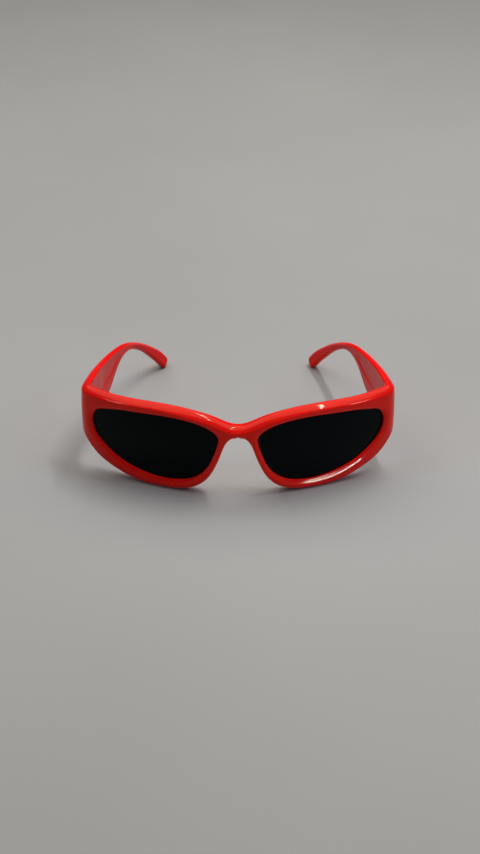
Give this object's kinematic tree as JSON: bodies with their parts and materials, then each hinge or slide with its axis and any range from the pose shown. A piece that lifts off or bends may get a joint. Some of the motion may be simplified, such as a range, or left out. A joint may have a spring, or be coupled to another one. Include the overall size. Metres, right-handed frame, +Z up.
{
  "type": "wraparound sport sunglasses",
  "caption": "Wraparound sunglasses with a glossy moulded front, dark lenses and wide temples that fold in on metal hinges.",
  "frame": {"origin": "bottom centre of the open sunglasses, on the surface they stand on", "axes": "+Z up; the front faces -Y and the temples run back along +Y; +X towards the wearer's left"},
  "size_m": [0.1476, 0.1202, 0.0457],
  "materials": {
    "red_shell": "high gloss moulded",
    "smoke_lens": "polished, near black",
    "hinge_steel": "satin",
    "dark_badge": "satin black"
  },
  "bodies": {
    "front": {"front_frame": "red_shell", "lens_left": "smoke_lens", "lens_right": "smoke_lens", "frame_hinge_leaf_left": "hinge_steel", "frame_hinge_leaf_right": "hinge_steel", "hinge_screw_left": "hinge_steel", "hinge_screw_right": "hinge_steel", "frame_leaf_screw_left_upper": "hinge_steel", "frame_leaf_screw_left_lower": "hinge_steel", "frame_leaf_screw_right_upper": "hinge_steel", "frame_leaf_screw_right_lower": "hinge_steel"},
    "left_temple": {"temple_left": "red_shell", "temple_hinge_leaf_left": "hinge_steel", "temple_leaf_screw_left_front": "hinge_steel", "temple_leaf_screw_left_rear": "hinge_steel", "badge_left": "dark_badge"},
    "right_temple": {"temple_right": "red_shell", "temple_hinge_leaf_right": "hinge_steel", "temple_leaf_screw_right_front": "hinge_steel", "temple_leaf_screw_right_rear": "hinge_steel", "badge_right": "dark_badge"}
  },
  "joints": [
    {"name": "left_temple_fold", "type": "hinge", "parent": "front", "child": "left_temple", "pos_m": [0.06728, -0.02799, 0.0285], "axis": [0, 0, 1], "range_deg": [0, 85]},
    {"name": "right_temple_fold", "type": "hinge", "parent": "front", "child": "right_temple", "pos_m": [-0.06728, -0.02799, 0.0285], "axis": [0, 0, -1], "range_deg": [0, 75]}
  ]
}
